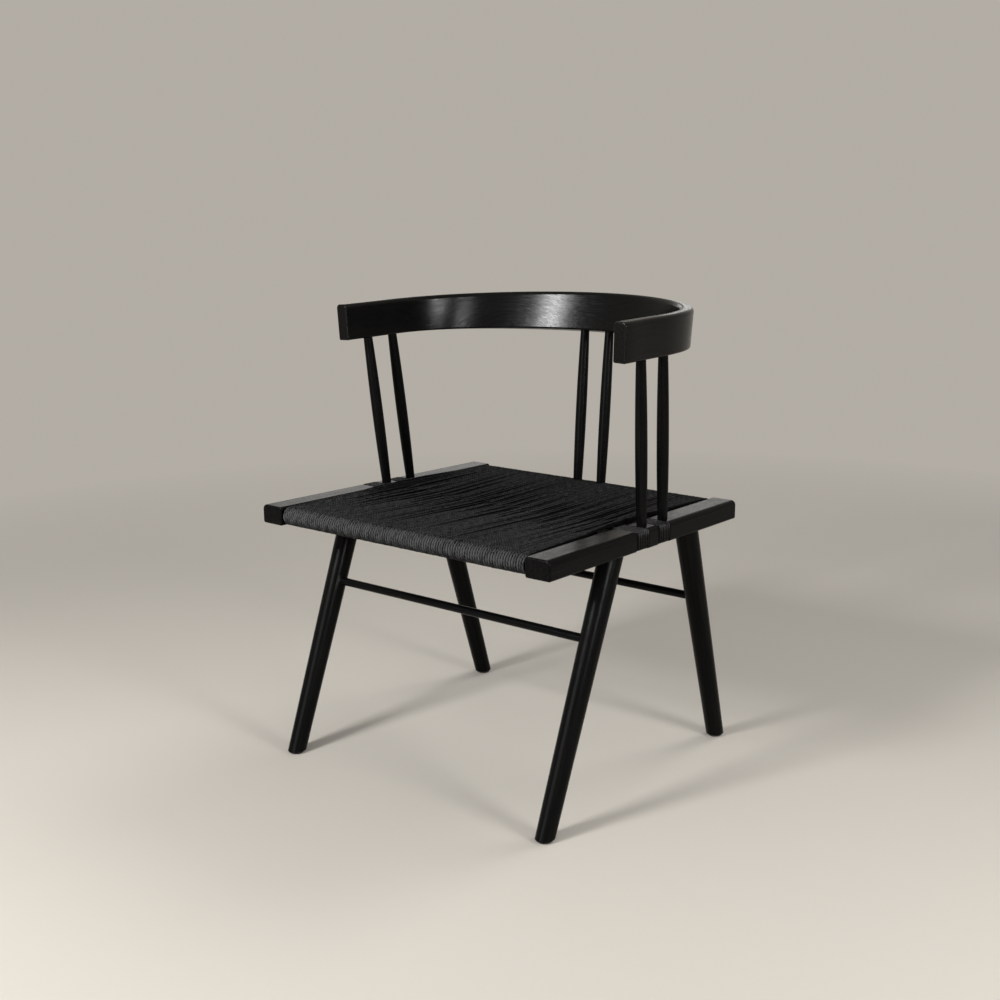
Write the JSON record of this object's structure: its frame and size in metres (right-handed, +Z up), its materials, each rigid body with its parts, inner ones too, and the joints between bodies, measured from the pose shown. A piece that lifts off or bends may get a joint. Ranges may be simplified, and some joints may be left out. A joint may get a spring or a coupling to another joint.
{
  "type": "dining armchair",
  "caption": "Low-backed dining armchair with a bent crest rail on turned spindles, raked round legs and a seat woven of cord between two side rails.",
  "frame": {"origin": "on the floor, under the middle of the chair's bounding box", "axes": "+Z up, +X to the right of someone facing the front of the chair, +Y from the front edge of the seat to the back"},
  "size_m": [0.6, 0.5538, 0.7504],
  "materials": {
    "black_wood": "black satin lacquer over open grain",
    "black_cord": "twisted cord, dyed black",
    "glide_plastic": "moulded, matt",
    "tack_steel": "plain steel"
  },
  "bodies": {
    "root": {"left_side_rail": "black_wood", "right_side_rail": "black_wood", "front_seat_rail": "black_wood", "rear_seat_rail": "black_wood", "front_left_leg": "black_wood", "front_right_leg": "black_wood", "rear_left_leg": "black_wood", "rear_right_leg": "black_wood", "front_stretcher": "black_wood", "rear_stretcher": "black_wood", "left_front_spindle": "black_wood", "left_rear_spindle": "black_wood", "right_front_spindle": "black_wood", "right_rear_spindle": "black_wood", "back_left_spindle": "black_wood", "back_right_spindle": "black_wood", "crest_rail": "black_wood", "seat_warp": "black_cord", "front_weft": "black_cord", "rear_weft": "black_cord", "front_left_glide": "glide_plastic", "front_right_glide": "glide_plastic", "rear_left_glide": "glide_plastic", "rear_right_glide": "glide_plastic", "cord_tacks": "tack_steel"}
  },
  "joints": []
}
